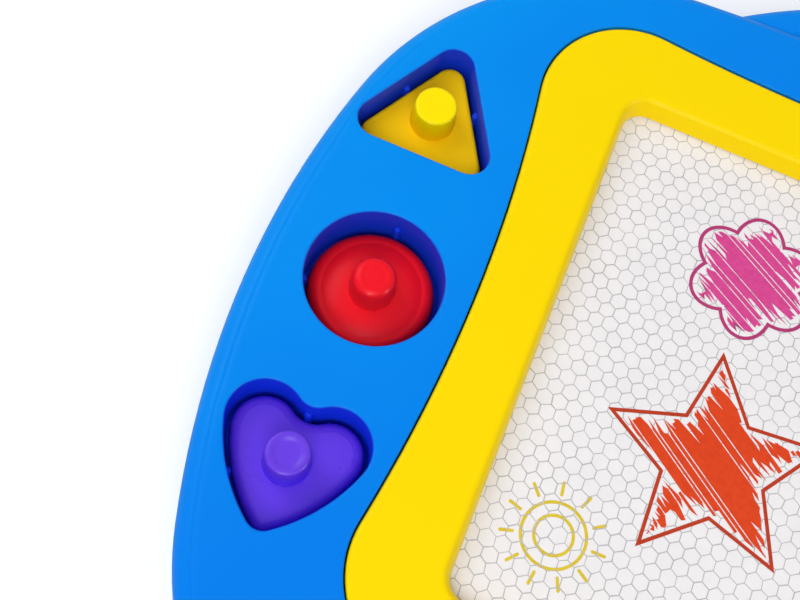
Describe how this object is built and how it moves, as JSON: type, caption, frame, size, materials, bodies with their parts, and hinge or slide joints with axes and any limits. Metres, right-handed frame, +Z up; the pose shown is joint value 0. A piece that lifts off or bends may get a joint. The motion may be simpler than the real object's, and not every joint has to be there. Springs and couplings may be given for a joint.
{
  "type": "magnetic drawing board",
  "caption": "Child's magnetic drawing board with an arched carry handle, shape stamps in side wells, an eraser slider and a pen in a trough.",
  "frame": {"origin": "middle of the footprint, on the surface that the board lies on", "axes": "+X to the right of someone who draws, towards the pen; +Y towards the carry handle; +Z up out of the screen"},
  "size_m": [0.3468, 0.2766, 0.0368],
  "materials": {
    "casing_blue": "satin moulded",
    "bezel_yellow": "satin moulded",
    "stamp_yellow": "satin moulded",
    "stamp_red": "satin moulded",
    "stamp_purple": "satin moulded",
    "knob_yellow": "satin moulded",
    "pen_red": "gloss moulded",
    "carriage_white": "matte moulded",
    "panel_film": "satin film",
    "panel_core": "cell sheet with fluid",
    "magnet_rubber": "bonded magnet",
    "screw_steel": "zinc plated"
  },
  "bodies": {
    "board": {"front_casing": "casing_blue", "rear_cover": "casing_blue", "carry_handle": "casing_blue", "screen_bezel": "bezel_yellow", "panel_top_film": "panel_film", "honeycomb_core": "panel_core", "panel_back_film": "panel_film", "tether_eyelet": "bezel_yellow", "casing_screw_01": "screw_steel", "casing_screw_02": "screw_steel", "casing_screw_03": "screw_steel", "casing_screw_04": "screw_steel", "casing_screw_05": "screw_steel", "casing_screw_06": "screw_steel", "casing_screw_07": "screw_steel", "casing_screw_08": "screw_steel", "casing_screw_09": "screw_steel", "casing_screw_10": "screw_steel", "casing_screw_11": "screw_steel", "casing_screw_12": "screw_steel", "bezel_screw_1": "screw_steel", "bezel_screw_2": "screw_steel", "bezel_screw_3": "screw_steel", "bezel_screw_4": "screw_steel", "bezel_screw_5": "screw_steel", "bezel_screw_6": "screw_steel"},
    "eraser": {"eraser_knob": "knob_yellow", "eraser_carriage": "carriage_white", "eraser_magnet_bar": "magnet_rubber", "knob_screw": "screw_steel"},
    "triangle_stamp_body": {"triangle_stamp": "stamp_yellow", "triangle_stamp_magnet": "magnet_rubber"},
    "circle_stamp_body": {"circle_stamp": "stamp_red", "circle_stamp_magnet": "magnet_rubber"},
    "heart_stamp_body": {"heart_stamp": "stamp_purple", "heart_stamp_magnet": "magnet_rubber"},
    "pen": {"pen_barrel": "pen_red", "pen_cap": "casing_blue", "pen_nib": "screw_steel"}
  },
  "joints": [
    {"name": "eraser_slide", "type": "slide", "parent": "board", "child": "eraser", "axis": [1, 0, 0], "range_m": [-0.186, 0]},
    {"name": "triangle_stamp_lift", "type": "slide", "parent": "board", "child": "triangle_stamp_body", "axis": [0, 0, 1], "range_m": [0, 0.03]},
    {"name": "circle_stamp_lift", "type": "slide", "parent": "board", "child": "circle_stamp_body", "axis": [0, 0, 1], "range_m": [0, 0.03]},
    {"name": "heart_stamp_lift", "type": "slide", "parent": "board", "child": "heart_stamp_body", "axis": [0, 0, 1], "range_m": [0, 0.03]},
    {"name": "pen_lift", "type": "slide", "parent": "board", "child": "pen", "axis": [0, 0, 1], "range_m": [0, 0.03]}
  ]
}
